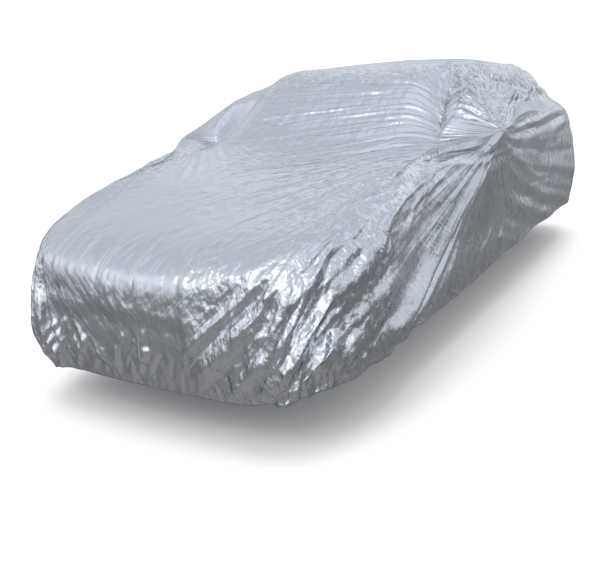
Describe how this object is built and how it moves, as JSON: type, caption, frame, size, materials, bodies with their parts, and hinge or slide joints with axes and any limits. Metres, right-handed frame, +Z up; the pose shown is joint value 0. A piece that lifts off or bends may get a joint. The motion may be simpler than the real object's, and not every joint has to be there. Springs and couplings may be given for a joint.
{
  "type": "car cover",
  "caption": "Fitted full cover of thin silver film for a saloon car, drawn out over the door mirrors, gathered at its hem and hollow beneath",
  "frame": {"origin": "the point under the crown of the roof, on the sheet's inner face, where the car's roof carries the cover", "axes": "+Y runs from the car's nose to its tail, +X to the car's left side, +Z up"},
  "size_m": [2.053, 4.716, 1.3258],
  "materials": {
    "silver_film": "metallised silver film, satin to bright, finely crumpled"
  },
  "bodies": {
    "root": {"cover": "silver_film"}
  },
  "joints": []
}
